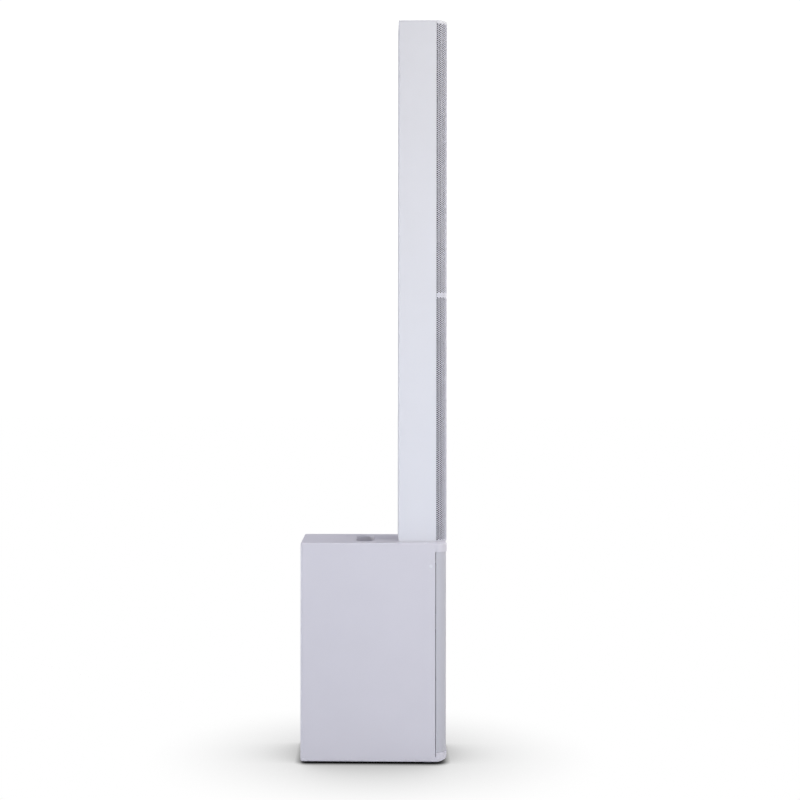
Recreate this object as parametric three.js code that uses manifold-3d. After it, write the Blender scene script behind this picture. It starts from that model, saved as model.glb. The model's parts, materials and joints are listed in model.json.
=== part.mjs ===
// Column PA system: a slim bass cabinet that stands on the floor, with a two-piece loudspeaker
// column plugged into its top.
// Frame: millimetres, +Z up, origin on the floor under the middle of the whole outline.
// The front (grilles) faces -Y, the amplifier panel faces +Y.
import * as THREE from "three";
import { mergeVertices } from "three/addons/utils/BufferGeometryUtils.js";
import Module from "manifold-3d";

const wasm = await Module();
wasm.setup();

// ---------- driving dimensions ----------
const Y_SHIFT = 2; // Y dimensions are from the cabinet's own datum, moved by this to the frame
const TOTAL_H = 2000; // floor to the top of the column
const FOOT_H = 6; // underside of the cabinet
const GAP = 0.3;
const GRILLE_T = 1.5;

const SUB_W = 228; // bass cabinet
const SUB_TOP = 591.4;
const SUB_REAR = 195;
const WALL = 12;
const INNER_X = SUB_W / 2 - WALL;
const CORNER_R = 27; // vertical front corners
const EDGE_R = 5; // top and bottom edges
const LIP_FRONT = -197.5; // front of the top and bottom lips
const LIP_LOW = 32; // top of the bottom lip
const LIP_HIGH = 568; // underside of the top lip
const GRILLE_FRONT = -195.4; // just behind the lips
const SEAM_Y = -166; // front edge of the side walls
const BAFFLE_Y = [-163, -148];
const WOOFER_Z = { upper: 455, lower: 272 };
const PORT_Z = 118;
const SIDE_PLUG = { y: -153.8, z: 530 };
const HANDLE = { y: 23.2, length: 140, width: 48 }; // grip opening in the top
const PLUG_Y = -123; // centre of the column connectors

const COL_HALF = 142 / 2; // half the column's width
const COL_FRONT = -199;
const COL_REAR = -68;
const COL_SEAM = -170; // where the housing meets the grille
const COL_FRONT_R = COL_SEAM - COL_FRONT;
const COL_GRILLE_R = COL_FRONT_R - 0.2;
const COL_REAR_R = 3.5; // vertical rear corners
const COL_WALL = 4;
const COL_FIT = 0.4;
const JOIN_Z = 1257.2; // joint between lower and upper column
const LOWER_Z = [SUB_TOP + GAP, JOIN_Z - GAP / 2];
const UPPER_Z = [JOIN_Z + GAP / 2, TOTAL_H - 3.2];
const VISOR = 7.5; // how far the top cap turns down over the grille
const MID_LOWER = [690, 840, 990, 1140];
const MID_UPPER = [1335, 1455, 1745, 1865];
const HORN_Z = 1600;

// Amplifier panel; its controls are placed by [x, z].
const PANEL = { width: 183, height: 363, z: 345, y: [174.2, 177.2] };
const PANEL_FACE = PANEL.y[1];
const SCREW_X = 87;
const SCREW_RISE = 177; // above and below the panel's centre
const SCREWS = {
  ul: [-SCREW_X, PANEL.z + SCREW_RISE],
  ur: [SCREW_X, PANEL.z + SCREW_RISE],
  ll: [-SCREW_X, PANEL.z - SCREW_RISE],
  lr: [SCREW_X, PANEL.z - SCREW_RISE],
};
const JACKS = { input_jack_1: [-40, 482], input_jack_2: [40, 482], link_output: [-52, 352] };
const KNOBS = {
  input_1_knob: [-40, 436],
  input_2_knob: [40, 436],
  bass_level_knob: [-12, 395],
  master_level_knob: [40, 395],
};
const BUTTON = [-52, 395];
const LENS = [40, 352];
const INLET = { x: 0, z: 205 };
const ROCKER = { axleY: 177, tilt: THREE.MathUtils.degToRad(7), backR: 10.46 };

// ---------- solids ----------
// A range is a pair [from, to] along one axis.
const about = (centre, half) => [centre - half, centre + half];
const onSide = (side, near, far) => (side > 0 ? [near, far] : [-far, -near]);
const middle = ([from, to]) => (from + to) / 2;
const length = ([from, to]) => to - from;

// Welds a geometry into a manifold solid, turning its faces outward if need be.
function solid(geometry) {
  const bare = geometry.clone();
  for (const name of Object.keys(bare.attributes)) {
    if (name !== "position") bare.deleteAttribute(name);
  }
  const merged = mergeVertices(bare, 1e-4);
  const index = merged.index.array;
  const kept = [];
  const turned = [];
  for (let i = 0; i < index.length; i += 3) {
    const [a, b, c] = index.slice(i, i + 3);
    if (a === b || b === c || a === c) continue;
    kept.push(a, b, c);
    turned.push(a, c, b);
  }
  const make = (triangles) =>
    new wasm.Manifold(
      new wasm.Mesh({
        numProp: 3,
        vertProperties: new Float32Array(merged.attributes.position.array),
        triVerts: new Uint32Array(triangles),
      }),
    );
  const made = make(kept);
  return made.volume() > 0 ? made : make(turned);
}

function geometryOf(made) {
  const mesh = made.getMesh();
  const geometry = new THREE.BufferGeometry();
  const positions = new Float32Array(mesh.vertProperties);
  geometry.setAttribute("position", new THREE.BufferAttribute(positions, 3));
  geometry.setIndex(new THREE.BufferAttribute(new Uint32Array(mesh.triVerts), 1));
  geometry.computeVertexNormals();
  return geometry;
}

const box = (xs, ys, zs) =>
  solid(
    new THREE.BoxGeometry(length(xs), length(ys), length(zs))
      .translate(middle(xs), middle(ys), middle(zs)),
  );

const cylinder = (r, range, segments) =>
  new THREE.CylinderGeometry(r, r, length(range), segments);
const cylX = (r, y, z, xs, segments) =>
  solid(cylinder(r, xs, segments).rotateZ(Math.PI / 2).translate(middle(xs), y, z));
const cylY = (r, x, z, ys, segments) =>
  solid(cylinder(r, ys, segments).translate(x, middle(ys), z));
const cylZ = (r, x, y, zs, segments) =>
  solid(cylinder(r, zs, segments).rotateX(Math.PI / 2).translate(x, y, middle(zs)));

const lathe = (profile, segments) =>
  new THREE.LatheGeometry(profile.map(([r, h]) => new THREE.Vector2(r, h)), segments);
// A profile of [radius, y] whose ends lie on the axis, turned about Y at (x, z).
const spinY = (profile, x, z, segments) => solid(lathe(profile, segments).translate(x, 0, z));
// A ring: its profile closes on itself, clear of the axis.
const ringY = (profile, x, z, segments) => spinY([...profile, profile[0]], x, z, segments);

const shapeOf = (points) => new THREE.Shape(points.map(([x, y]) => new THREE.Vector2(x, y)));
const extrude = (points, range) =>
  new THREE.ExtrudeGeometry(shapeOf(points), { depth: length(range), bevelEnabled: false });
// Outline in Y and Z.
const prismX = (points, xs) =>
  solid(extrude(points, xs).rotateX(Math.PI / 2).rotateZ(Math.PI / 2).translate(xs[0], 0, 0));
// Outline in X and Z.
const prismY = (points, ys) =>
  solid(extrude(points, ys).rotateX(Math.PI / 2).translate(0, ys[1], 0));
// Outline in X and Y.
const prismZ = (points, zs) => solid(extrude(points, zs).translate(0, 0, zs[0]));

// As prismZ, with rounded top and bottom edges.
function roundedPrismZ(points, zs, edgeR, bevelSegments) {
  const geometry = new THREE.ExtrudeGeometry(shapeOf(points), {
    depth: length(zs) - 2 * edgeR,
    bevelEnabled: true,
    bevelSize: edgeR,
    bevelOffset: -edgeR,
    bevelThickness: edgeR,
    bevelSegments,
  });
  return solid(geometry.translate(0, 0, zs[0] + edgeR));
}

// ---------- outlines ----------
// Points of an arc between two angles in degrees.
function arc(centreX, centreY, r, from, to, steps) {
  const points = [];
  for (let i = 0; i <= steps; i++) {
    const angle = ((from + ((to - from) * i) / steps) * Math.PI) / 180;
    points.push([centreX + r * Math.cos(angle), centreY + r * Math.sin(angle)]);
  }
  return points;
}

function rounded(centreX, centreY, width, height, r, steps) {
  const x = width / 2 - r;
  const y = height / 2 - r;
  return [
    ...arc(centreX + x, centreY + y, r, 0, 90, steps),
    ...arc(centreX - x, centreY + y, r, 90, 180, steps),
    ...arc(centreX - x, centreY - y, r, 180, 270, steps),
    ...arc(centreX + x, centreY - y, r, 270, 360, steps),
  ];
}

const rearCorners = (halfW, rear, r, steps) => [
  ...arc(halfW - r, rear - r, r, 0, 90, steps),
  ...arc(-halfW + r, rear - r, r, 90, 180, steps),
];
const frontCorners = (halfW, front, r, steps) => [
  ...arc(-halfW + r, front + r, r, 180, 270, steps),
  ...arc(halfW - r, front + r, r, 270, 360, steps),
];

// The plan of a body with large front corners and small rear ones.
const plan = (halfW, front, rear, frontR, rearR, rearSteps) => [
  ...rearCorners(halfW, rear, rearR, rearSteps),
  ...frontCorners(halfW, front, frontR, 8),
];

// A bent sheet: the front plan line from one seam round to the other, made thick inwards.
const wrap = (halfW, front, seam, r, thick, steps) => [
  [-halfW, seam],
  ...frontCorners(halfW, front, r, steps),
  [halfW, seam],
  [halfW - thick, seam],
  ...arc(halfW - r, front + r, r - thick, 360, 270, steps),
  ...arc(-halfW + r, front + r, r - thick, 270, 180, steps),
  [-halfW + thick, seam],
];

// ---------- materials ----------
const paint = (settings) => new THREE.MeshStandardMaterial(settings);
const WHITE = paint({ color: 0xe6e5ea, roughness: 0.5, metalness: 0 });
const WHITE_METAL = paint({ color: 0xe4e3e8, roughness: 0.45, metalness: 0.1 });
const BLACK = paint({ color: 0x17171a, roughness: 0.6, metalness: 0 });
const RUBBER = paint({ color: 0x101011, roughness: 0.85, metalness: 0 });
const FOAM = paint({ color: 0x0d0d0e, roughness: 1, metalness: 0 });
const PAPER = paint({ color: 0x1c1c1e, roughness: 0.9, metalness: 0 });
const STEEL = paint({ color: 0x8d9094, roughness: 0.35, metalness: 0.9 });
const FERRITE = paint({ color: 0x2a2b2e, roughness: 0.5, metalness: 0.5 });
const ALU = paint({ color: 0x2c2d30, roughness: 0.45, metalness: 0.8 });
const BOARD = paint({ color: 0x14482c, roughness: 0.6, metalness: 0 });
const WOOD = paint({ color: 0x6b5136, roughness: 0.8, metalness: 0 });
const GREEN_LENS = paint({ color: 0x2aa84a, roughness: 0.2, metalness: 0 });

const root = new THREE.Group();
const group = new THREE.Group();
group.position.y = Y_SHIFT;
root.add(group);

function add(name, made, material) {
  const mesh = new THREE.Mesh(geometryOf(made), material);
  mesh.name = name;
  group.add(mesh);
}

// ---------- bass cabinet ----------
const LEDGE = 12; // ledge behind the baffle, above and below its opening
// [y, z] of what is cut from the underside, which rises towards the front.
const UNDERSIDE_CUT = [
  [-163, -10], [-163, FOOT_H], [-190, 12.6],
  ...arc(-189, 20.5, 8.5, 262, 190, 4),
  [-198.5, 24], [-225, 24], [-225, -10],
];

function addCabinet() {
  const outline = plan(SUB_W / 2, LIP_FRONT, SUB_REAR, CORNER_R, 7, 3);
  const lips = [LIP_LOW, LIP_HIGH];
  const chamberRear = SUB_REAR - WALL;
  let body = roundedPrismZ(outline, [FOOT_H, SUB_TOP], EDGE_R, 3)
    // the space the grille closes, the baffle's seat, its rear opening, then the chamber
    .subtract(box(about(0, 130), [-230, SEAM_Y], lips))
    .subtract(box(about(0, INNER_X), [SEAM_Y - 1, BAFFLE_Y[1] + GAP], lips))
    .subtract(box(about(0, 92), [-148, -135], [LIP_LOW + LEDGE, LIP_HIGH - LEDGE]))
    .subtract(box(about(0, INNER_X), [-136, chamberRear], [FOOT_H + WALL, SUB_TOP - WALL]));
  // a thick frame round the rear opening, so that the amplifier panel sits back from the rear face
  const frame = box(about(0, INNER_X + 1), [164, chamberRear + 1], [150, 540])
    .subtract(box(about(0, 82), [160, 190], about(PANEL.z, 172)));
  const recess = rounded(0, PANEL.z, PANEL.width + 1, PANEL.height + 1, 4, 3);
  body = body.add(frame).subtract(prismY(recess, [174, 210]));
  for (const [x, z] of Object.values(SCREWS)) {
    body = body.subtract(cylY(2.3, x, z, [160, 176], 10));
  }
  const grip = rounded(0, HANDLE.y, HANDLE.length + 4.6, HANDLE.width + 4.6, 26, 6);
  body = body
    .subtract(prismZ(grip, [570, 610]))
    .subtract(prismZ(rounded(0, PLUG_Y, 74, 44, 3, 2), [550, 610]));
  for (const side of [-1, 1]) {
    // side plug hole, and a relief below the grille's seam
    body = body
      .subtract(cylX(3.8, SIDE_PLUG.y, SIDE_PLUG.z, onSide(side, 106, 120), 14))
      .subtract(box(onSide(side, 111, 120), [-167, -165.8], [19.6, LIP_LOW + 1]));
  }
  add("sub_cabinet", body.subtract(prismX(UNDERSIDE_CUT, about(0, 140))), WHITE);
}

function addSubFront() {
  let board = box(about(0, INNER_X - GAP), BAFFLE_Y, [LIP_LOW + GAP, LIP_HIGH - GAP]);
  const through = [-170, -140];
  for (const z of Object.values(WOOFER_Z)) board = board.subtract(cylY(77.5, 0, z, through, 28));
  board = board.subtract(cylY(41, 0, PORT_Z, through, 24));
  add("sub_baffle", board, WOOD);

  const sheet = wrap(SUB_W / 2, GRILLE_FRONT, -168.1, CORNER_R, GRILLE_T, 8);
  add("sub_grille", prismZ(sheet, [LIP_LOW + 0.5, LIP_HIGH - 0.5]), WHITE_METAL);
  const foam = box(about(0, 86), [-193.6, -188.6], [LIP_LOW + 4, LIP_HIGH - 4]);
  add("sub_grille_foam", foam, FOAM);
}

// ---------- woofers and port: profiles of [radius, y] ----------
const WOOFER_FRAME = [
  [73.2, -169], [84, -169], [84, -163.2], [77, -163.2], [76.4, -150], [56, -112],
  [56, -106.2], [28.5, -106.2], [28.5, -109], [52, -109], [52, -112], [73.2, -150],
];
const WOOFER_MAGNET = [
  [0, -112], [23.2, -112], [23.2, -90], [27.4, -90], [27.4, -105.8], [46, -105.8],
  [46, -99], [54, -99], [54, -84], [46, -84], [46, -79], [0, -79],
];
const WOOFER_CONE = [
  [0, -152.5], [12, -151], [24, -146], [57, -168], [61, -172.3], [65, -173.5],
  [70, -171.5], [72.4, -167.5], [71.4, -166.6], [65, -171.4], [58.4, -165.6],
  [25.8, -144], [25.8, -97], [24.8, -97], [24.8, -143.6], [12, -149.4], [0, -150.8],
];
const PORT_TUBE = [
  [38, -60], [38, -140], [38.6, -156], [44, -164.6],
  [50, -166.8], [50, -163.3], [40, -163.3], [40, -60],
];
const WINDOWS = 6; // openings round the woofer frame

function addWoofer(which, z) {
  let frame = ringY(WOOFER_FRAME, 0, z, 20);
  for (let k = 0; k < WINDOWS; k++) {
    const window = new THREE.BoxGeometry(34, 30, 60)
      .translate(0, -129, 72)
      .rotateY(((k + 0.5) * 2 * Math.PI) / WINDOWS)
      .translate(0, 0, z);
    frame = frame.subtract(solid(window));
  }
  add(`woofer_${which}_frame`, frame, STEEL);
  add(`woofer_${which}_magnet`, spinY(WOOFER_MAGNET, 0, z, 18), FERRITE);
  add(`woofer_${which}_cone`, spinY(WOOFER_CONE, 0, z, 20), PAPER);
}

// ---------- grip tub in the top ----------
// A neck in the cabinet's opening, above a wider hollow set back by REACH.
function addGripTub() {
  const REACH = 12;
  const { y, length: gripL, width: gripW } = HANDLE;
  const tub = prismZ(rounded(0, y, gripL + 4, gripW + 4, 26, 6), [578, SUB_TOP - 0.1])
    .add(prismZ(rounded(0, y + REACH, 164, 90, 20, 5), [530, SUB_TOP - WALL - GAP]))
    .subtract(prismZ(rounded(0, y, gripL, gripW, 24, 6), [570, 600]))
    .subtract(prismZ(rounded(0, y + REACH, 158, 84, 17, 5), [533, 577.7]));
  add("grip_tub", tub, WHITE);
}

// ---------- column connectors ----------
const SOCKET_BORE = rounded(0, PLUG_Y, 64.4, 34.4, 2, 2);

// A cup with contact pins, open at the top.
function socketCup(top) {
  let cup = prismZ(rounded(0, PLUG_Y, 70, 40, 3, 2), [top - 50, top])
    .subtract(prismZ(SOCKET_BORE, [top - 46, top + 1]));
  for (const x of [-18, -6, 6, 18]) {
    for (const y of about(PLUG_Y, 5)) cup = cup.add(cylZ(1.8, x, y, [top - 46.5, top - 26], 8));
  }
  return cup;
}

// A block with a hollow lower end that goes over the pins.
const plugBlock = (base) =>
  prismZ(rounded(0, PLUG_Y, 63, 33, 2, 2), [base - 42, base + 20])
    .subtract(prismZ(rounded(0, PLUG_Y, 54, 24, 2, 2), [base - 43, base - 12]));

function addColumnSocket() {
  const rim = prismZ(rounded(0, PLUG_Y, 73.4, 43.4, 3, 2), [SUB_TOP - 10, SUB_TOP])
    .subtract(prismZ(SOCKET_BORE, [SUB_TOP - 11, SUB_TOP + 1]));
  add("column_socket", rim.add(socketCup(SUB_TOP)), BLACK);
}

// ---------- column bodies ----------
const HOUSING_INNER = { x: COL_HALF - COL_WALL, rear: COL_REAR - COL_WALL, chamfer: 2 };
const CAP_REAR = HOUSING_INNER.rear - COL_FIT;
const CAP_FRONT = COL_SEAM + 12;
// Plan of the caps that close the housings, a loose fit inside their walls.
const CAP_PLAN = rounded(
  0, (CAP_REAR + CAP_FRONT) / 2,
  2 * (HOUSING_INNER.x - COL_FIT), CAP_REAR - CAP_FRONT, 3, 2,
);

// Plan of a housing: a channel open to the front.
function housingPlan() {
  const { x, rear, chamfer } = HOUSING_INNER;
  const front = COL_SEAM + COL_FIT;
  return [
    [COL_HALF, front],
    ...rearCorners(COL_HALF, COL_REAR, COL_REAR_R, 4),
    [-COL_HALF, front],
    [-x, front],
    [-x, rear - chamfer],
    [-x + chamfer, rear],
    [x - chamfer, rear],
    [x, rear - chamfer],
    [x, front],
  ];
}

function columnBaffle(zs, mids) {
  let board = box(about(0, 66.5), [-168, -161], zs);
  for (const z of mids) board = board.subtract(cylY(47.5, 0, z, [-175, -150], 24));
  return board;
}

function addColumnBodies() {
  const [low0, low1] = LOWER_Z;
  const [up0] = UPPER_Z;
  const housing = housingPlan();
  add("lower_column_housing", prismZ(housing, LOWER_Z), WHITE);
  add("upper_column_housing", prismZ(housing, UPPER_Z), WHITE);

  const sheet = wrap(COL_HALF, COL_FRONT, COL_SEAM - 0.1, COL_GRILLE_R, GRILLE_T, 8);
  add("lower_column_grille", prismZ(sheet, [low0 + 0.2, low1]), WHITE_METAL);
  add("upper_column_grille", prismZ(sheet, [up0, TOTAL_H - VISOR - 0.2]), WHITE_METAL);

  const inset = 2.4;
  const foam = wrap(
    COL_HALF - inset, COL_FRONT + inset, COL_SEAM - 1.5, COL_FRONT_R - 4, 3, 6,
  );
  add("lower_column_foam", prismZ(foam, [low0 + 3, low1 - 3]), FOAM);
  add("upper_column_foam", prismZ(foam, [up0 + 3, TOTAL_H - 13]), FOAM);

  add("lower_column_baffle", columnBaffle([608, 1240], MID_LOWER), WOOD);
  const hornHole = box(about(0, 46), [-175, -150], about(HORN_Z, 62));
  const upperBaffle = columnBaffle([1273, 1980], MID_UPPER).subtract(hornHole);
  add("upper_column_baffle", upperBaffle, WOOD);
}

// ---------- column caps ----------
const bottomCap = (base) => prismZ(CAP_PLAN, [base + 0.1, base + 6]).add(plugBlock(base));

function addJointCaps() {
  const top = LOWER_Z[1];
  add("lower_column_bottom_cap", bottomCap(LOWER_Z[0]), BLACK);
  const socketCap = prismZ(CAP_PLAN, [top - 6, top - 0.1])
    .subtract(prismZ(SOCKET_BORE, [top - 20, top + 1]))
    .add(socketCup(top - 0.1));
  add("lower_column_top_cap", socketCap, BLACK);
  add("upper_column_bottom_cap", bottomCap(UPPER_Z[0]), BLACK);
}

// Over the housing a thin lid; over the grille it turns down as a visor, rounded at the front.
function addTopCap() {
  const outline = plan(COL_HALF, COL_FRONT, COL_REAR, COL_GRILLE_R, COL_REAR_R, 4);
  const across = about(0, 100);
  const noseR = 7;
  const noseCut = [
    [COL_FRONT - 2, TOTAL_H - noseR],
    ...arc(COL_FRONT + noseR, TOTAL_H - noseR, noseR, 180, 90, 5),
    [COL_FRONT + noseR, TOTAL_H + 3],
    [COL_FRONT - 2, TOTAL_H + 3],
  ];
  const cap = roundedPrismZ(outline, [TOTAL_H - 12, TOTAL_H], 2, 2)
    .subtract(box(across, [-250, -50], [TOTAL_H - 20, TOTAL_H - VISOR]))
    .subtract(box(across, [COL_SEAM, -40], [TOTAL_H - 20, TOTAL_H - 3]))
    .subtract(prismX(noseCut, across))
    .add(prismZ(CAP_PLAN, [TOTAL_H - 12, TOTAL_H - 2.5]));
  add("column_top_cap", cap, WHITE);
}

// ---------- column drivers: profiles of [radius, y] ----------
const MID_DRIVER = [
  [0, -165], [8, -164], [13, -161.5], [37, -170.2], [41, -173.4], [46, -171], [47, -173.2],
  [56, -173.2], [56, -168.3], [46, -168.3], [32, -143], [37, -143], [37, -126], [0, -126],
];
const HF_DRIVER = [
  [0, -133], [11, -133.7], [30, -133.7], [30, -127], [36, -127],
  [36, -104], [28, -104], [28, -98], [0, -98],
];
// Waveguide sections from mouth to throat: [half width, half height, y, corner exponent].
// An exponent of 1 gives an ellipse; a smaller one squares the corners.
const HORN_THROAT_R = 12.5;
const HORN_SECTIONS = [
  [46, 58, -173, 0.45],
  [30, 46, -164, 0.45],
  [19, 30, -152, 0.45],
  [HORN_THROAT_R, HORN_THROAT_R, -134, 1],
];

// The solid through the sections, each grown outwards by the given amount.
function hornLoft(grow) {
  const n = 16; // points round a section
  const squared = (value, exponent) => Math.sign(value) * Math.abs(value) ** exponent;
  const positions = [];
  for (const [halfW, halfH, y, exponent] of HORN_SECTIONS) {
    for (let k = 0; k < n; k++) {
      const angle = (2 * Math.PI * k) / n;
      const x = (halfW + grow) * squared(Math.cos(angle), exponent);
      const z = (halfH + grow) * squared(Math.sin(angle), exponent);
      positions.push(x, y, z);
    }
  }
  const throat = (HORN_SECTIONS.length - 1) * n; // first point of the last section
  const mouthCentre = throat + n;
  const throatCentre = mouthCentre + 1;
  positions.push(0, HORN_SECTIONS[0][2], 0, 0, HORN_SECTIONS.at(-1)[2], 0);

  const index = [];
  for (let start = 0; start < throat; start += n) {
    for (let k = 0; k < n; k++) {
      const a = start + k;
      const b = start + ((k + 1) % n);
      index.push(a, b, b + n, a, b + n, a + n);
    }
  }
  for (let k = 0; k < n; k++) {
    const next = (k + 1) % n;
    index.push(mouthCentre, next, k);
    index.push(throatCentre, throat + k, throat + next);
  }
  const geometry = new THREE.BufferGeometry();
  geometry.setAttribute("position", new THREE.Float32BufferAttribute(positions, 3));
  geometry.setIndex(index);
  return solid(geometry.translate(0, 0, HORN_Z));
}

function addColumnDrivers() {
  [...MID_LOWER, ...MID_UPPER].forEach((z, i) => {
    add(`mid_driver_${i + 1}`, spinY(MID_DRIVER, 0, z, 14), PAPER);
  });
  // a flared mouth on a flange, narrowing to a round throat
  const guide = hornLoft(3)
    .intersect(box(about(0, 45.5), [-173, -134], about(HORN_Z, 61.5)))
    .add(prismY(rounded(0, HORN_Z, 128, 136, 5, 3), [-172.8, -168.3]));
  const air = hornLoft(0)
    .add(cylY(HORN_THROAT_R, 0, HORN_Z, [-136, -130], 20))
    .add(box(about(0, 45), [-180, -172.6], about(HORN_Z, 57)));
  add("hf_waveguide", guide.subtract(air), BLACK);
  add("hf_driver", spinY(HF_DRIVER, 0, HORN_Z, 16), FERRITE);
}

// ---------- amplifier panel: profiles of [radius, y] ----------
const KNOB = [
  [0, 190.5], [7, 190.5], [7.8, 189.6], [8.4, 180], [8.4, 178], [3.4, 178], [3.4, 168], [0, 168],
];
const BUTTON_PROFILE = [[0, 182.5], [3.4, 182.5], [3.9, 182], [3.9, 170.5], [0, 170.5]];
const LENS_PROFILE = [
  [0, 179.6], [2, 179.2], [3.6, 178.2], [3.6, 177.4], [2.5, 177.4], [2.5, 172], [0, 172],
];
const SCREW_PROFILE = [
  [0, 180.2], [2, 180.2], [4, 178.8], [4.2, 177.4], [2, 177.4], [2, 166], [0, 165],
];

function addPanel() {
  const outline = rounded(0, PANEL.z, PANEL.width, PANEL.height, 4, 3);
  const through = [170, 180];
  let panel = prismY(outline, PANEL.y);
  // [places, hole radius, segments]
  const holes = [
    [Object.values(JACKS), 12, 14],
    [Object.values(KNOBS), 4, 12],
    [[BUTTON], 4.4, 14],
    [[LENS], 2.8, 12],
    [Object.values(SCREWS), 2.3, 10],
  ];
  for (const [places, r, segments] of holes) {
    for (const [x, z] of places) panel = panel.subtract(cylY(r, x, z, through, segments));
  }
  panel = panel.subtract(box(about(INLET.x, 40.4), through, about(INLET.z, 14.4)));
  add("amp_panel", panel, ALU);
}

// Three thin cylinders evenly round (x, z), the first at the top.
const threePins = (x, z, pitchR, pinR, ys) =>
  [0, 1, 2].map((k) => {
    const angle = Math.PI / 2 + (k * 2 * Math.PI) / 3;
    return cylY(pinR, x + pitchR * Math.cos(angle), z + pitchR * Math.sin(angle), ys, 8);
  });

// The link output has pins in an open barrel; the inputs have a centre hole and pin holes.
function addJack(name, [x, z]) {
  let jack = prismY(rounded(x, z, 26, 31, 4, 3), [PANEL_FACE + 0.1, PANEL_FACE + 2.4])
    .add(cylY(11.4, x, z, [158, 181.5], 14));
  if (name === "link_output") {
    jack = jack.subtract(cylY(9.6, x, z, [166, 190], 14));
    for (const pin of threePins(x, z, 4, 1.2, [165, 178])) jack = jack.add(pin);
  } else {
    jack = jack.subtract(cylY(3.3, x, z, [162, 190], 12));
    for (const hole of threePins(x, z, 7, 1.3, [168, 190])) jack = jack.subtract(hole);
  }
  add(name, jack, BLACK);
}

// A knob with a pointer groove across its face and down its upper side.
function addKnob(name, [x, z]) {
  const knob = spinY(KNOB, x, z, 18)
    .subtract(box(about(x, 0.6), [189.5, 195], [z + 1.5, z + 12]))
    .subtract(box(about(x, 0.6), [179, 195], [z + 7.7, z + 12]));
  add(name, knob, BLACK);
}

// Mains inlet and rocker share one moulded bezel.
function addMainsInlet() {
  const { x, z } = INLET;
  const inlet = prismY(rounded(x, z, 88, 34, 4, 3), [PANEL_FACE + 0.1, PANEL_FACE + 3.2])
    .add(box(about(x, 39.8), [150, PANEL_FACE + 1], about(z, 13.8)))
    .subtract(box([x + 4, x + 34], [156, 190], about(z, 10.5)))
    .add(box([x + 8, x + 30], [155, 174], about(z, 6.5)))
    .subtract(box([x - 32, x - 8], [160, 190], about(z, 11)));
  add("mains_inlet", inlet, BLACK);
}

// A shallow V on the outside and round behind, about an axle along X; its upper end stands proud.
function addRocker() {
  const { axleY, tilt, backR } = ROCKER;
  const cos = Math.cos(tilt);
  const sin = Math.sin(tilt);
  // [out, up] from the axle before tilting
  const level = [[3.2, 0], [4.6, 9.4], ...arc(0, 0, backR, 80, 280, 8), [4.6, -9.4]];
  const tilted = level.map(([out, up]) => [
    axleY + out * cos + up * sin,
    INLET.z - out * sin + up * cos,
  ]);
  add("power_rocker", prismX(tilted, [INLET.x - 31.2, INLET.x - 8.8]), BLACK);
}

// Outside the panel: a base with upright fins.
function addHeatSink() {
  const halfW = 70;
  const fins = 15;
  const finT = 2.4;
  const finRoot = 181;
  const finTip = 190;
  const pitch = (2 * halfW - finT) / (fins - 1);
  const points = [[-halfW, 177.4], [halfW, 177.4]];
  for (let k = fins - 1; k >= 0; k--) {
    const x = -halfW + k * pitch;
    if (k < fins - 1) points.push([x + finT, finRoot]);
    points.push([x + finT, finTip], [x, finTip]);
    if (k > 0) points.push([x, finRoot]);
  }
  add("heat_sink", prismZ(points, [240, 310]), ALU);
}

function addBoards() {
  // round parts: [x, z, radius, height]
  const cans = [[-50, 470, 9, 24], [-26, 470, 9, 24], [30, 480, 7, 18], [50, 480, 7, 18], [52, 440, 10, 22]];
  let amp = box(about(0, 76), [140, 142], [320, 508])
    .add(box(about(0, 70), [141, 160], [325, 333])); // transistor clamp bar
  for (const [x, z, r, height] of cans) amp = amp.add(cylY(r, x, z, [141.5 - height, 141], 12));
  amp = amp
    .add(box([-40, 0], [118, 141], [385, 425]))
    .add(box([20, 44], [124, 141], [370, 410]));
  add("amp_board", amp, BOARD);

  let supply = box(about(0, 76), [132, 134], [180, 306])
    .add(box([-60, -10], [98, 133], [200, 250])) // transformer core
    .add(box([-56, -14], [88, 99], [206, 244])); // transformer winding
  for (const x of [18, 46]) {
    for (const z of [215, 255]) supply = supply.add(cylY(11, x, z, [100, 133], 14));
  }
  add("power_supply_board", supply, BOARD);
}

// A screw with a cross slot.
function addScrew(key, [x, z]) {
  const screw = spinY(SCREW_PROFILE, x, z, 12)
    .subtract(box(about(x, 0.5), [179, 182], about(z, 2)))
    .subtract(box(about(x, 2), [179, 182], about(z, 0.5)));
  add(`panel_screw_${key}`, screw, STEEL);
}

// ---------- outside fittings ----------
const FOOT = { x: 86, frontY: -142, rearY: 165 };
const FOOT_PROFILE = [[0, 0], [12, 0], [14, 1.5], [15, 5.8], [0, 5.8]]; // [radius, z]

function addSidePlug(name, side) {
  const face = SUB_W / 2;
  const { y, z } = SIDE_PLUG;
  const radii = side > 0 ? [3.2, 4.6] : [4.6, 3.2]; // narrower outwards
  const head = new THREE.CylinderGeometry(...radii, 1.1, 16)
    .rotateZ(-Math.PI / 2)
    .translate(side * (face + 0.65), y, z);
  const stem = cylX(3.5, y, z, onSide(side, face - 6, face + 0.5), 14);
  add(name, solid(head).add(stem), WHITE);
}

function addFoot(name, x, y) {
  add(name, solid(lathe(FOOT_PROFILE, 16).rotateX(Math.PI / 2).translate(x, y, 0)), RUBBER);
}

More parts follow.
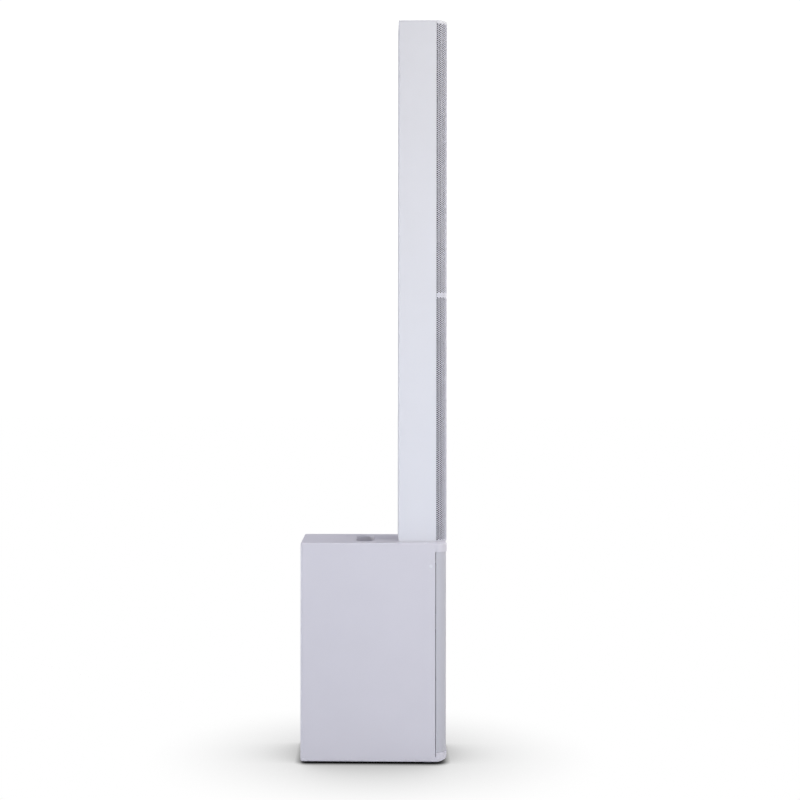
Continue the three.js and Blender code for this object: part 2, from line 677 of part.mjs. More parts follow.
// ---------- assembly ----------
addCabinet();
addSubFront();
for (const [which, z] of Object.entries(WOOFER_Z)) addWoofer(which, z);
add("port_tube", ringY(PORT_TUBE, 0, PORT_Z, 20), BLACK);
addGripTub();
addColumnSocket();
addColumnBodies();
addJointCaps();
addTopCap();
addColumnDrivers();
addPanel();
for (const [name, place] of Object.entries(JACKS)) addJack(name, place);
for (const [name, place] of Object.entries(KNOBS)) addKnob(name, place);
add("mode_button", spinY(BUTTON_PROFILE, ...BUTTON, 20), BLACK);
addMainsInlet();
addRocker();
addHeatSink();
addBoards();
add("status_lens", spinY(LENS_PROFILE, ...LENS, 16), GREEN_LENS);
for (const [key, place] of Object.entries(SCREWS)) addScrew(key, place);
addSidePlug("side_plug_left", -1);
addSidePlug("side_plug_right", 1);
for (const [end, y] of [["front", FOOT.frontY], ["rear", FOOT.rearY]]) {
  addFoot(`foot_${end}_left`, -FOOT.x, y);
  addFoot(`foot_${end}_right`, FOOT.x, y);
}

export default root;
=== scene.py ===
"""A column loudspeaker: a bass cabinet on four feet carrying two slim column sections and a cap.

+Z is up and the floor is z = 0. The grilles face -Y, the amplifier panel faces +Y.
Lengths are in millimetres, turned into metres when a mesh is made; the scene setup is in metres.
"""
import json
import math

import bpy
import numpy as np
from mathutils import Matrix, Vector


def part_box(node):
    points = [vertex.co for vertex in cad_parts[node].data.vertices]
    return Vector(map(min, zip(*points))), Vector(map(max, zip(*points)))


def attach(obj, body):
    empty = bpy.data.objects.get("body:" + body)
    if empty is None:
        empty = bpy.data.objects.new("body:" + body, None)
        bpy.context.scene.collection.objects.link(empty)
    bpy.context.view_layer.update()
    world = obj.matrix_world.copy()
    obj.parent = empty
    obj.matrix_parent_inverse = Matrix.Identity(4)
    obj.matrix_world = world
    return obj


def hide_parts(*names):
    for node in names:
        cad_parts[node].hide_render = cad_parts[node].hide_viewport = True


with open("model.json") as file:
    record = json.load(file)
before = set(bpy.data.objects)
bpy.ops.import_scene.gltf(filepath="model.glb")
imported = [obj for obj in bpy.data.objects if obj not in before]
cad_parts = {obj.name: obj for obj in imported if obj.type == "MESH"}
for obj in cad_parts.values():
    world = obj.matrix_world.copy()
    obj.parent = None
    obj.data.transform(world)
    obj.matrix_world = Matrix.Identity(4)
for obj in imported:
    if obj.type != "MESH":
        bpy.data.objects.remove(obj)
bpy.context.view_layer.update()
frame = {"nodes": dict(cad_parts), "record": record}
scene = bpy.context.scene
MM = 0.001

SLOT_OF = {part["node"]: part["material_slot"] for part in frame["record"]["subparts"]}
BODY_OF = {
    node: body
    for body, nodes in frame["record"]["behaviour"]["bodies"].items()
    for node in nodes
}


def box_of(node):
    lo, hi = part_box(node)
    return [c / MM for c in lo], [c / MM for c in hi]


def centre_of(node):
    return [(a + b) / 2 for a, b in zip(*box_of(node))]


def panel_centre(node):
    x, _, z = centre_of(node)
    return x, z


# ------------------------------------------------------------------ dimensions, from the frame
CAB_LO, CAB_HI = box_of("sub_cabinet")
HALF = CAB_HI[0]                        # half width of the cabinet
LIP, REAR = CAB_LO[1], CAB_HI[1]
BASE, TOP = CAB_LO[2], CAB_HI[2]
CORNER = 27.0                           # front corner radius of cabinet and grille

BASS_LO, BASS_HI = box_of("sub_grille")
SEAM = BASS_HI[1] + 2.1                 # y where the cabinet starts behind the grille
LOW, HIGH = BASS_LO[2] - 0.5, BASS_HI[2] + 0.5

GRIP_LO, GRIP_HI = box_of("grip_tub")
CHAMBER_SHIFT = 12.0                    # the grip's chamber lies this far behind its mouth
GRIP_Y = (GRIP_LO[1] + GRIP_HI[1]) / 2 - CHAMBER_SHIFT
SOCKET_Y = centre_of("column_socket")[1]
PLUG_AT = tuple(centre_of("side_plug_right")[1:])

LOWER_LO, LOWER_HI = box_of("lower_column_housing")
UPPER_LO, UPPER_HI = box_of("upper_column_housing")
LOWER_MESH_LO, LOWER_MESH_HI = box_of("lower_column_grille")
UPPER_MESH_LO, UPPER_MESH_HI = box_of("upper_column_grille")
COL_HALF, COL_REAR = LOWER_HI[0], LOWER_HI[1]
COL_SEAM, COL_FRONT = LOWER_LO[1], LOWER_MESH_LO[1]
COL_FRONT_RADIUS = 28.8
COL_REAR_RADIUS = 3.5
COL_TOP = box_of("column_top_cap")[1][2]

PANEL_LO, PANEL_HI = box_of("amp_panel")
PANEL_Z = (PANEL_LO[2] + PANEL_HI[2]) / 2
FACE = PANEL_HI[1]                      # y of the panel's outer face
CLEAR = 195                             # y beyond everything on the panel, where cutters end

INPUTS = {n: panel_centre(n) for n in ("input_jack_1", "input_jack_2")}
LINK = panel_centre("link_output")
KNOBS = {
    n: panel_centre(n)
    for n in ("input_1_knob", "input_2_knob", "bass_level_knob", "master_level_knob")
}
BUTTON = panel_centre("mode_button")
LENS = panel_centre("status_lens")
INLET = panel_centre("mains_inlet")
SCREWS = {"panel_screw_" + c: panel_centre("panel_screw_" + c) for c in ("ul", "ur", "ll", "lr")}


# ------------------------------------------------------------------ materials
def cleared_tree(owner):
    owner.use_nodes = True
    owner.node_tree.nodes.clear()
    return owner.node_tree


def add_node(tree, kind, inputs=None, **settings):
    """Adds a shader node; an input given as a socket is linked, any other is a value."""
    node = tree.nodes.new("ShaderNode" + kind)
    for key, value in settings.items():
        setattr(node, key, value)
    for key, value in (inputs or {}).items():
        if isinstance(value, bpy.types.NodeSocket):
            tree.links.new(value, node.inputs[key])
        else:
            node.inputs[key].default_value = value
    return node


def map_range(tree, value, centre, spread):
    """Maps the middle of a noise, 0.3 to 0.7, onto centre -/+ spread."""
    return add_node(tree, "MapRange", {
        "Value": value, "From Min": 0.3, "From Max": 0.7,
        "To Min": centre - spread, "To Max": centre + spread,
    }).outputs[0]


def fine_relief(tree, kind, vector, size):
    inputs = {"Vector": vector, "Scale": 1000.0 / size}
    if kind == "foam":
        return add_node(tree, "TexVoronoi", inputs).outputs["Distance"]
    if kind == "traces":
        inputs["Randomness"] = 0.7
        return add_node(tree, "TexVoronoi", inputs, distance="CHEBYCHEV").outputs["Distance"]
    if kind == "rings":
        inputs.update({"Scale": 1000.0 / size / 20.0, "Distortion": 6.0, "Detail": 3.0})
        wave = add_node(tree, "TexWave", inputs, wave_type="RINGS", rings_direction="Z")
        return wave.outputs["Fac"]
    inputs.update({"Detail": 4.0, "Roughness": 0.55})
    return add_node(tree, "TexNoise", inputs).outputs[0]


def material(name, base, rough, grain, grain_size, kind="noise", metal=0.0, mottle=0.0,
             mottle_size=60.0, rough_var=0.04, stretch=(1, 1, 1), coat=0.0, sheen=0.0,
             second=None, band=None):
    """Principled surface driven by textures in object space.

    grain and grain_size are the depth and size of the fine relief, of the given kind;
    mottle is the broad variation of colour, mottle_size its size; stretch scales the relief.
    second is a colour faded in as the relief rises through band.
    """
    mat = bpy.data.materials.new(name)
    tree = cleared_tree(mat)
    coords = add_node(tree, "TexCoord").outputs["Object"]
    stretched = add_node(tree, "Mapping", {"Vector": coords, "Scale": stretch}).outputs[0]

    broad = add_node(tree, "TexNoise", {
        "Vector": coords, "Scale": 1000.0 / mottle_size, "Detail": 3.0}).outputs[0]
    shade = map_range(tree, broad, 1.0, mottle)
    colour = add_node(tree, "VectorMath", {0: base, "Scale": shade}, operation="SCALE").outputs[0]

    height = fine_relief(tree, kind, stretched, grain_size)
    half_broad = add_node(tree, "Math", {0: broad, 1: 0.5}, operation="MULTIPLY").outputs[0]
    blend = add_node(tree, "Math", {0: height, 1: 0.5, 2: half_broad}, operation="MULTIPLY_ADD")
    roughness = map_range(tree, blend.outputs[0], rough, rough_var)

    if second is not None:
        ramp = add_node(tree, "ValToRGB", {0: height})
        for stop, position, level in zip(ramp.color_ramp.elements, band, (0, 1)):
            stop.position = position
            stop.color = (level, level, level, 1)
        colour = add_node(tree, "Mix", {
            "Factor": ramp.outputs[0], 6: colour, 7: (*second, 1)}, data_type="RGBA").outputs[2]

    bump = add_node(tree, "Bump", {"Strength": 1.0, "Distance": grain * MM, "Height": height})
    surface = add_node(tree, "BsdfPrincipled", {
        "Base Color": colour, "Roughness": roughness, "Metallic": metal,
        "Coat Weight": coat, "Sheen Weight": sheen, "Normal": bump.outputs[0]})
    add_node(tree, "OutputMaterial", {0: surface.outputs[0]})
    return mat


# One entry per material slot; the arguments are those of material().
MATERIALS = {
    "cabinet_paint": dict(base=(0.700, 0.678, 0.731), rough=0.5, rough_var=0.05,
                          grain=0.03, grain_size=1.4, mottle=0.01, mottle_size=120),
    "grille_coat": dict(base=(0.566, 0.560, 0.602), rough=0.5, rough_var=0.06,
                        grain=0.012, grain_size=0.5, mottle=0.012, mottle_size=80),
    "grip_grey": dict(base=(0.70, 0.68, 0.735), rough=0.55, rough_var=0.05,
                      grain=0.03, grain_size=0.8, mottle=0.03, mottle_size=30),
    "white_paint": dict(base=(0.785, 0.783, 0.825), rough=0.46, rough_var=0.05,
                        grain=0.022, grain_size=1.1, mottle=0.008, mottle_size=140),
    "white_mesh": dict(base=(0.688, 0.678, 0.742), rough=0.5, rough_var=0.06,
                       grain=0.012, grain_size=0.5, mottle=0.01, mottle_size=90),
    "foam_black": dict(base=(0.02, 0.02, 0.022), rough=0.95, kind="foam",
                       grain=0.4, grain_size=1.3,
                       second=(0.045, 0.045, 0.048), band=(0.2, 0.6)),
    "baffle_board": dict(base=(0.30, 0.21, 0.13), rough=0.7, kind="rings",
                         grain=0.08, grain_size=4.0, mottle=0.08,
                         second=(0.20, 0.13, 0.08), band=(0.35, 0.8)),
    "basket_steel": dict(base=(0.36, 0.37, 0.39), rough=0.38, rough_var=0.1, metal=0.9,
                         grain=0.015, grain_size=0.8, mottle=0.04),
    "magnet": dict(base=(0.07, 0.07, 0.075), rough=0.55, rough_var=0.1, metal=0.3,
                   grain=0.05, grain_size=0.9, mottle=0.12, mottle_size=12),
    "cone_paper": dict(base=(0.03, 0.03, 0.032), rough=0.85, sheen=0.1,
                       grain=0.12, grain_size=1.6, stretch=(1, 1, 0.25),
                       mottle=0.2, mottle_size=9,
                       second=(0.055, 0.053, 0.05), band=(0.5, 0.75)),
    "black_moulding": dict(base=(0.028, 0.028, 0.031), rough=0.5, rough_var=0.08,
                           grain=0.035, grain_size=0.45, mottle=0.08, mottle_size=25),
    "knob_soft": dict(base=(0.035, 0.035, 0.038), rough=0.62, rough_var=0.06, sheen=0.15,
                      grain=0.02, grain_size=0.25, mottle=0.06, mottle_size=10),
    "panel_metal": dict(base=(0.045, 0.047, 0.052), rough=0.42, rough_var=0.09, metal=0.55,
                        grain=0.012, grain_size=0.35, stretch=(0.04, 1, 1),
                        mottle=0.05, mottle_size=70),
    "fin_metal": dict(base=(0.04, 0.042, 0.046), rough=0.38, rough_var=0.1, metal=0.6,
                      grain=0.02, grain_size=0.4, stretch=(1, 1, 0.05),
                      mottle=0.06, mottle_size=30),
    "circuit_board": dict(base=(0.012, 0.09, 0.045), rough=0.35, kind="traces", coat=0.3,
                          grain=0.05, grain_size=3.2,
                          second=(0.02, 0.15, 0.075), band=(0.42, 0.5)),
    "status_green": dict(base=(0.03, 0.42, 0.10), rough=0.15, coat=0.6,
                         grain=0.01, grain_size=0.6, mottle=0.1, mottle_size=3),
    "screw_steel": dict(base=(0.10, 0.10, 0.105), rough=0.34, rough_var=0.08, metal=0.85,
                        grain=0.01, grain_size=0.3, mottle=0.1, mottle_size=4),
    "pin_metal": dict(base=(0.62, 0.60, 0.55), rough=0.26, rough_var=0.06, metal=1.0,
                      grain=0.006, grain_size=0.3, mottle=0.05, mottle_size=4),
    "foot_rubber": dict(base=(0.022, 0.022, 0.024), rough=0.82, rough_var=0.06,
                        grain=0.05, grain_size=0.6, mottle=0.1, mottle_size=8),
    "print_white": dict(base=(0.62, 0.63, 0.65), rough=0.6,
                        grain=0.006, grain_size=0.3, mottle=0.05, mottle_size=6),
}
MATERIALS = {name: material(name, **look) for name, look in MATERIALS.items()}

for name, piece in frame["nodes"].items():
    slot = "fin_metal" if name == "heat_sink" else SLOT_OF[name]
    piece.data.materials.clear()
    piece.data.materials.append(MATERIALS[slot])


# ------------------------------------------------------------------ outlines
def arc(x, y, radius, start, end, steps):
    angles = [math.radians(start + (end - start) * i / steps) for i in range(steps + 1)]
    return [(x + radius * math.cos(a), y + radius * math.sin(a)) for a in angles]


def circle(centre, radius, steps):
    return arc(*centre, radius, 0, 360, steps)[:-1]


def rounded(cx, cy, width, height, radius, steps=8):
    """A rectangle with rounded corners."""
    x, y = width / 2 - radius, height / 2 - radius
    return (arc(cx + x, cy + y, radius, 0, 90, steps)
            + arc(cx - x, cy + y, radius, 90, 180, steps)
            + arc(cx - x, cy - y, radius, 180, 270, steps)
            + arc(cx + x, cy - y, radius, 270, 360, steps))


def plan(half, front, rear, front_radius, rear_radius):
    """A plan outline with its own corner radius at front and rear."""
    fx, fy = half - front_radius, front + front_radius
    rx, ry = half - rear_radius, rear - rear_radius
    return (arc(rx, ry, rear_radius, 0, 90, 10) + arc(-rx, ry, rear_radius, 90, 180, 10)
            + arc(-fx, fy, front_radius, 180, 270, 28) + arc(fx, fy, front_radius, 270, 360, 28))


def shifted(points, centre):
    return [(centre[0] + x, centre[1] + z) for x, z in points]


def triad(centre, radius):
    """Three places round a centre, the first at the top."""
    angles = [math.pi / 2 + k * 2 * math.pi / 3 for k in range(3)]
    return shifted([(radius * math.cos(a), radius * math.sin(a)) for a in angles], centre)


def inset(points, distance):
    """Moves each corner of a counter-clockwise outline inwards."""
    if abs(distance) < 1e-9:
        return list(points)
    moved = []
    for i, here in enumerate(points):
        before, after = points[i - 1], points[(i + 1) % len(points)]
        edge1 = (here[0] - before[0], here[1] - before[1])
        edge2 = (after[0] - here[0], after[1] - here[1])
        length1 = math.hypot(*edge1) or 1
        length2 = math.hypot(*edge2) or 1
        normal1 = (-edge1[1] / length1, edge1[0] / length1)
        normal2 = (-edge2[1] / length2, edge2[0] / length2)
        # the floor keeps the mitre of a very sharp corner short
        mitre = max(1 + normal1[0] * normal2[0] + normal1[1] * normal2[1], 0.3)
        moved.append((here[0] + (normal1[0] + normal2[0]) * distance / mitre,
                      here[1] + (normal1[1] + normal2[1]) * distance / mitre))
    return moved


# ------------------------------------------------------------------ solids
def shade(mesh, smooth):
    """Shades smooth, with sharp edges above an angle in degrees."""
    mesh.shade_smooth()
    mesh.set_sharp_from_angle(angle=math.radians(smooth))


def add_mesh(name, verts, faces, mat, smooth=32.0, outward=True):
    """Makes an object from millimetre points; outward turns inside-out solids round."""
    mesh = bpy.data.meshes.new(name)
    mesh.from_pydata([tuple(c * MM for c in v) for v in verts], [], faces)
    mesh.update()
    if outward:
        co = np.array([v.co for v in mesh.vertices], float)
        mesh.calc_loop_triangles()
        a, b, c = np.array([t.vertices for t in mesh.loop_triangles]).T
        if np.einsum("ij,ij->i", co[a], np.cross(co[b], co[c])).sum() < 0:
            mesh.flip_normals()
    shade(mesh, smooth)
    if mat:
        mesh.materials.append(MATERIALS[mat])
    made = bpy.data.objects.new(name, mesh)
    scene.collection.objects.link(made)
    return made


def loft(name, rings, mat=None, smooth=32.0, closed=False):
    """Joins rings of equal length in order. A one-point ring is a pole.

    The ends are capped, or joined to each other if closed.
    """
    verts, starts = [], []
    for ring in rings:
        starts.append(len(verts))
        verts += ring
    faces = []
    for a in range(len(rings) if closed else len(rings) - 1):
        b = (a + 1) % len(rings)
        start_a, start_b = starts[a], starts[b]
        count = max(len(rings[a]), len(rings[b]))
        for i in range(count):
            j = (i + 1) % count
            if len(rings[a]) == 1:
                faces.append((start_a, start_b + j, start_b + i))
            elif len(rings[b]) == 1:
                faces.append((start_a + i, start_a + j, start_b))
            else:
                faces.append((start_a + i, start_a + j, start_b + j, start_b + i))
    if not closed:
        if len(rings[0]) > 1:
            faces.append(tuple(reversed(range(len(rings[0])))))
        if len(rings[-1]) > 1:
            faces.append(tuple(range(starts[-1], len(verts))))
    return add_mesh(name, verts, faces, mat, smooth)


def place(point, along, axis):
    """A point of a cross-section, set at a distance along the axis."""
    p, q = point
    return {"x": (along, p, q), "y": (p, along, q), "z": (p, q, along)}[axis]


def prism(name, outline, start, end, mat=None, axis="y", edge=0, segs=3, start_edge=None):
    """An outline raised along an axis with rounded end edges."""
    if start_edge is None:
        start_edge = edge
    area = sum(outline[i - 1][0] * outline[i][1] - outline[i][0] * outline[i - 1][1]
               for i in range(len(outline)))
    if area < 0:
        outline = list(reversed(outline))
    turns = [math.radians(90 * i / segs) for i in range(segs + 1)]
    levels = []  # (inset, distance along the axis)
    if start_edge:
        levels += [(start_edge * (1 - math.sin(t)), start + start_edge * (1 - math.cos(t)))
                   for t in turns]
    else:
        levels.append((0, start))
    if edge:
        levels += [(edge * (1 - math.cos(t)), end - edge * (1 - math.sin(t))) for t in turns]
    else:
        levels.append((0, end))
    rings = [[place(p, along, axis) for p in inset(outline, depth)] for depth, along in levels]
    return loft(name, rings, mat)


def lathe(name, profile, centre, mat=None, axis="y", segs=48, smooth=32.0,
          flutes=0, flute_depth=0):
    """Turns a profile of (radius, distance along the axis) about an axis through centre."""
    rings = []
    for radius, along in profile:
        if radius < 1e-6:
            rings.append([place(centre, along, axis)])
            continue
        ring = []
        for i in range(segs):
            turn = 2 * math.pi * i / segs
            r = radius * (1 + flute_depth * math.cos(flutes * turn))
            ring.append(place((centre[0] + r * math.cos(turn), centre[1] + r * math.sin(turn)),
                              along, axis))
        rings.append(ring)
    return loft(name, rings, mat, smooth)


def flat_ring(name, centre, outer, inner, start, end, steps):
    """A printed ring lying in the panel's plane."""
    outside, inside = circle(centre, outer, steps), circle(centre, inner, steps)
    sections = ((outside, start), (outside, end), (inside, end), (inside, start))
    rings = [[place(p, y, "y") for p in ring] for ring, y in sections]
    return loft(name, rings, "print_white", closed=True)


def box_tool(x0, x1, y0, y1, z0, z1):
    return prism("tool", [(x0, y0), (x1, y0), (x1, y1), (x0, y1)], z0, z1, axis="z")


def drill(centre, radius, start, end, segs, axis="y"):
    return lathe("tool", [(0, start), (radius, start), (radius, end), (0, end)], centre,
                 axis=axis, segs=segs)


def bake(piece, smooth=None):
    """Applies the object's modifiers."""
    bpy.context.view_layer.update()
    depsgraph = bpy.context.evaluated_depsgraph_get()
    mesh = bpy.data.meshes.new_from_object(piece.evaluated_get(depsgraph))
    mesh.name = piece.name
    piece.modifiers.clear()
    piece.data = mesh
    if smooth:
        shade(mesh, smooth)


def cut(piece, tools, operation="DIFFERENCE"):
    for tool in tools:
        boolean = piece.modifiers.new("cut", "BOOLEAN")
        boolean.operation = operation
        boolean.solver = "EXACT"
        boolean.object = tool
    bake(piece)
    for tool in tools:
        bpy.data.objects.remove(tool)


def soften(piece, width, segs, angle):
    """Rounds every edge sharper than the angle."""
    bevel = piece.modifiers.new("round", "BEVEL")
    bevel.width = width * MM
    bevel.segments = segs
    bevel.limit_method = "ANGLE"
    bevel.angle_limit = math.radians(angle)
    bevel.use_clamp_overlap = True
    bevel.miter_outer = "MITER_ARC"
    bake(piece, 32.0)


PARTS = []


def trim(piece, node):
    """Registers a detail that rides with a node's body."""
    PARTS.append(piece)
    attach(piece, BODY_OF[node])


def stand_for(piece, node):
    """Registers a piece that takes a node's place."""
    PARTS.append(piece)
    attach(piece, BODY_OF[node])
    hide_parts(node)


# ------------------------------------------------------------------ perforated sheet
SHEET = 1.5  # thickness


def perforated(name, node, mat, half, front, rear, radius, bottom, top, margins, solid,
               pitch, across, columns=None):
    """A sheet bent round two front corners, with staggered hexagonal holes.

    margins are the unpierced heights at bottom and top, solid the least unpierced length
    at each side edge, pitch and across the spacing and width of the holes.
    A given count of columns is spread evenly; otherwise as many as fit.
    """
    straight = max(rear - (front + radius), 0.0)
    bend = math.pi * radius / 2
    flat = 2 * (half - radius)
    total = 2 * straight + 2 * bend + flat

    def point_at(along, depth):
        """x and y at a length along the sheet from its rear left edge."""
        inner = radius - depth
        if along < straight:
            return -half + depth, rear - along
        if along < straight + bend:
            turn = math.pi + (along - straight) / radius
            return (-half + radius + inner * math.cos(turn),
                    front + radius + inner * math.sin(turn))
        if along < straight + bend + flat:
            return -half + radius + (along - straight - bend), front + depth
        past_flat = along - straight - bend - flat
        if along < straight + 2 * bend + flat:
            turn = 1.5 * math.pi + past_flat / radius
            return (half - radius + inner * math.cos(turn),
                    front + radius + inner * math.sin(turn))
        return half - depth, front + radius + (past_flat - bend)

    # grid lines: column edges along the sheet, half-cell steps in height
    spacing = pitch * math.sqrt(3) / 2
    if columns:
        spacing = (total - 2 * solid) / columns
    else:
        columns = int((total - 2 * solid) / spacing)
        if columns % 2 == 0:
            columns -= 1
    border = (total - columns * spacing) / 2
    border_steps = math.ceil(border / 2.5) if border > 3 else 1
    edge = [border * i / border_steps for i in range(border_steps)]
    lines = (edge + [border + spacing * i for i in range(columns + 1)]
             + [total - along for along in reversed(edge)])
    first, last = bottom + margins[0], top - margins[1]
    rows = max(1, round((last - first) / pitch))
    step = (last - first) / rows / 2
    heights = [bottom] + [first + step * k for k in range(2 * rows + 1)] + [top]
    nu, nv = len(lines), len(heights)

    def at(i, k):
        return i * nv + k

    def quad(i, k):
        return at(i, k), at(i + 1, k), at(i + 1, k + 1), at(i, k + 1)

    # solid quads, and the cells (column, lowest height line) that hold a hole
    quads, cells = [], []
    for i in range(nu - 1):
        column = i - len(edge)
        if not 0 <= column < columns:
            quads += [quad(i, k) for k in range(nv - 1)]
            continue
        quads += [quad(i, 0), quad(i, nv - 2)]
        if column % 2 == 0:
            cells += [(i, 1 + 2 * j) for j in range(rows)]
        else:
            quads += [quad(i, 1), quad(i, nv - 3)]
            cells += [(i, 2 + 2 * j) for j in range(rows - 1)]

    corner_radius = across / math.sqrt(3)
    hexagon = [(corner_radius * math.cos(math.radians(a)), corner_radius * math.sin(math.radians(a)))
               for a in range(-60, 300, 60)]
    flat_points = [(along, z) for along in lines for z in heights]
    for i, k in cells:
        flat_points += shifted(hexagon, ((lines[i] + lines[i + 1]) / 2, heights[k + 1]))
    verts = [(*point_at(along, depth), z) for depth in (0.0, SHEET) for along, z in flat_points]

    back = len(flat_points)  # index offset of the inner layer
    faces = []

    def both_layers(face):
        faces.append(face)
        faces.append(tuple(back + v for v in reversed(face)))

    for c, (i, k) in enumerate(cells):
        outer = [at(i + 1, k), at(i + 1, k + 1), at(i + 1, k + 2),
                 at(i, k + 2), at(i, k + 1), at(i, k)]
        hole = [nu * nv + 6 * c + q for q in range(6)]
        for q in range(6):
            w = (q + 1) % 6
            both_layers((outer[q], outer[w], hole[w], hole[q]))
            faces.append((hole[q], hole[w], back + hole[w], back + hole[q]))
    for face in quads:
        both_layers(face)
    rim = [(at(i, 0), at(i + 1, 0)) for i in range(nu - 1)]
    rim += [(at(nu - 1, k), at(nu - 1, k + 1)) for k in range(nv - 1)]
    rim += [(at(i + 1, nv - 1), at(i, nv - 1)) for i in range(nu - 1)]
    rim += [(at(0, k + 1), at(0, k)) for k in range(nv - 1)]
    faces += [(b, a, back + a, back + b) for a, b in rim]
    stand_for(add_mesh(name, verts, faces, mat, 28, outward=False), node)


# ------------------------------------------------------------------ bass cabinet
def build_cabinet():
    wall = 12
    inner = HALF - wall
    # undercut below the front lip, as (y, z)
    start, run, rise = LIP + 34.5, 27, 6.6
    undercut = [(start, -10), (start, BASE)]
    undercut += [(start - run * k / 6, BASE + rise * (k / 6) ** 1.6) for k in range(1, 7)]
    undercut += arc(LIP + 8.6, BASE + 14.6, 8.5, 262, 186, 10)
    undercut += [(LIP - 1, BASE + 18), (LIP - 30, BASE + 18), (LIP - 30, -10)]

    cabinet = prism("cabinet", plan(HALF, LIP, REAR, CORNER, 8.0), BASE, TOP,
                    "cabinet_paint", "z", 5.0, 8)
    tools = [
        # grille opening, recess behind it, passage, and the rear chamber
        box_tool(-130, 130, -260, SEAM, LOW, HIGH),
        box_tool(-inner, inner, SEAM - 1, SEAM + 18.3, LOW, HIGH),
        box_tool(-92, 92, SEAM + 18, SEAM + 31, LOW + 12, HIGH - 12),
        box_tool(-inner, inner, SEAM + 30, REAR - 29, BASE + wall, TOP - wall),
        # panel recess and the opening through it
        prism("tool", rounded(0, PANEL_Z, 184, 364, 4.0, 6), REAR - 21, REAR + 20),
        prism("tool", rounded(0, PANEL_Z, 164, 344, 3.0, 6), REAR - 40, REAR + 20),
        # grip mouth and column socket
        prism("tool", rounded(0, GRIP_Y, 144.6, 52.6, 26.2, 16), TOP - 23, TOP + 17, axis="z"),
        prism("tool", rounded(0, SOCKET_Y, 74, 44, 3.2, 5), TOP - 43, TOP + 17, axis="z"),
        prism("tool", undercut, -140, 140, axis="x"),
    ]
    for side in (-1, 1):
        tools.append(drill(PLUG_AT, 3.8, side * 104, side * 120, 24, "x"))
        tools.append(box_tool(*sorted((side * 102, side * 120)), SEAM - 2.1, SEAM, 19.6, LOW + 1))
    cut(cabinet, tools)
    soften(cabinet, 0.7, 2, 40)
    stand_for(cabinet, "sub_cabinet")


def build_bass_grille():
    perforated("bass_grille", "sub_grille", "grille_coat", half=HALF, front=BASS_LO[1],
               rear=BASS_HI[1] + 0.6, radius=CORNER, bottom=BASS_LO[2], top=BASS_HI[2],
               margins=(13, 13), solid=34.0, pitch=5.4, across=4.0)


def build_grip_tub():
    """A rolled lip, a collar, then a wider chamber below."""
    rim = GRIP_HI[2]
    # width, depth, corner radius, z, shift to the rear; outside first, then down the inside
    stations = [
        (164, 90, 20, 530, CHAMBER_SHIFT),
        (164, 90, 20, TOP - 12.3, CHAMBER_SHIFT),
        (144, 52, 25.8, TOP - 12.2, 0),
        (144, 52, 25.8, rim - 0.4, 0),
        (143.4, 51.4, 25.5, rim, 0),
        (142, 50, 24.8, rim, 0),
        (141, 49, 24.3, rim - 0.4, 0),
        (140.3, 48.3, 23.95, rim - 1.2, 0),
        (140, 48, 23.8, rim - 2.4, 0),
        (140, 48, 23.8, TOP - 15.5, 0),
        (141, 49, 24.3, TOP - 16.6, 0),
        (158, 84, 17, TOP - 17, 0),
        (158, 84, 17, 536, CHAMBER_SHIFT),
        (150, 76, 13, 533, CHAMBER_SHIFT),
    ]
    rings = [[(x, y, z) for x, y in rounded(0, GRIP_Y + shift, width, depth, radius, 14)]
             for width, depth, radius, z, shift in stations]
    tub = loft("grip_tub_fine", rings, "grip_grey", 40)
    # the lip is painted like the cabinet
    tub.data.materials.append(MATERIALS["cabinet_paint"])
    for face in tub.data.polygons:
        if face.center.z > (TOP - 1.0) * MM:
            face.material_index = 1
    stand_for(tub, "grip_tub")


def build_side_plugs():
    """Shallow domes on the cabinet's sides."""
    # radius, distance outwards from the cabinet's side
    profile = [(0, -6), (3.4, -6), (3.5, -5.6), (3.5, 0.12), (4.5, 0.12), (4.6, 0.3),
               (4.5, 0.62), (4.1, 0.92), (3.4, 1.1), (1.8, 1.18), (0, 1.2)]
    for node, side in (("side_plug_left", -1), ("side_plug_right", 1)):
        placed = [(radius, side * (HALF + out)) for radius, out in profile]
        stand_for(lathe(node + "_cap", placed, PLUG_AT, "white_paint", "x", 40), node)


def build_feet():
    # radius, z
    profile = [(0, 0.9), (4.2, 0.9), (4.6, 0.5), (5.2, 0.0), (12.0, 0.0), (13.0, 0.35),
               (13.8, 1.3), (14.7, 4.6), (15.0, 5.4), (14.7, 5.8), (0, 5.8)]
    for place_name in ("front_left", "front_right", "rear_left", "rear_right"):
        node = "foot_" + place_name
        x, y, _ = centre_of(node)
        stand_for(lathe(node + "_pad", profile, (x, y), "foot_rubber", "z", 56), node)


# ------------------------------------------------------------------ columns
def build_column_shell(name, node, bottom, top):
    """A U-shaped housing, open at the front."""
    wall, inner_radius = 4.0, 2
    x, y = COL_HALF - COL_REAR_RADIUS, COL_REAR - COL_REAR_RADIUS
    inner_x = COL_HALF - wall - inner_radius
    inner_y = COL_REAR - wall - inner_radius
    outline = [(COL_HALF, COL_SEAM)]
    outline += arc(x, y, COL_REAR_RADIUS, 0, 90, 12)
    outline += arc(-x, y, COL_REAR_RADIUS, 90, 180, 12)
    outline += [(-COL_HALF, COL_SEAM), (-COL_HALF + wall, COL_SEAM)]
    outline += arc(-inner_x, inner_y, inner_radius, 180, 90, 5)
    outline += arc(inner_x, inner_y, inner_radius, 90, 0, 5)
    outline += [(COL_HALF - wall, COL_SEAM)]
    stand_for(prism(name, outline, bottom, top, "white_paint", "z", 0.08, 1), node)


